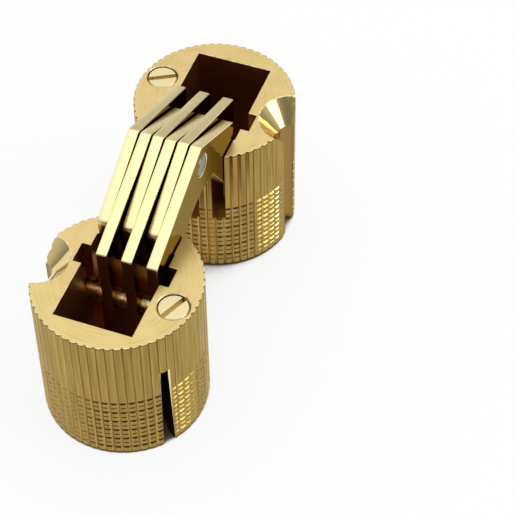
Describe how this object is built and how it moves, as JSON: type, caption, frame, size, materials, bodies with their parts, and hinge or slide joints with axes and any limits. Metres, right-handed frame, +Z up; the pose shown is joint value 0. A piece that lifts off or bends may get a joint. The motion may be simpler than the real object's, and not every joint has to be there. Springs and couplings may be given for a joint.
{
  "type": "invisible barrel hinge",
  "caption": "Concealed hinge of knurled brass barrels that press into drilled holes, joined by a stack of link plates that folds into the barrels until their faces meet.",
  "frame": {"origin": "midway between the barrels' axes, on the plane that their hollow ends stand on", "axes": "+X from barrel A to barrel B, +Y along the pins, +Z up, out of the barrels' faces"},
  "size_m": [0.0456, 0.018, 0.0251],
  "materials": {
    "barrel_brass": "turned and knurled",
    "link_brass": "ground, polished sides",
    "screw_brass": "turned",
    "pin_steel": "ground",
    "pin_brass": "drawn"
  },
  "bodies": {
    "side_a": {"barrel_a": "barrel_brass", "expansion_screw_a": "screw_brass", "pivot_pin_a": "pin_steel"},
    "links_a": {"link_a_1": "link_brass", "link_a_2": "link_brass", "link_a_3": "link_brass", "centre_pin": "pin_steel", "slider_pin_b": "pin_brass"},
    "links_b": {"link_b_1": "link_brass", "link_b_2": "link_brass", "link_b_3": "link_brass", "slider_pin_a": "pin_brass"},
    "side_b": {"barrel_b": "barrel_brass", "expansion_screw_b": "screw_brass", "pivot_pin_b": "pin_steel"}
  },
  "joints": [
    {"name": "fold", "type": "hinge", "parent": "side_a", "child": "links_a", "pos_m": [-0.00703, 0, 0.0145], "axis": [0, -1, 0], "range_deg": [0, 111.45]},
    {"name": "knee", "type": "hinge", "parent": "links_a", "child": "links_b", "pos_m": [0, 0, 0.02255], "axis": [0, -1, 0], "range_deg": [-42.9, 0]},
    {"name": "far_pivot", "type": "hinge", "parent": "links_b", "child": "side_b", "pos_m": [0.00703, 0, 0.0145], "axis": [0, -1, 0], "range_deg": [0, 111.45]}
  ],
  "couplings": [
    {"joint": "knee", "follows": "fold", "ratio": -0.38487},
    {"joint": "far_pivot", "follows": "fold", "ratio": 1}
  ]
}
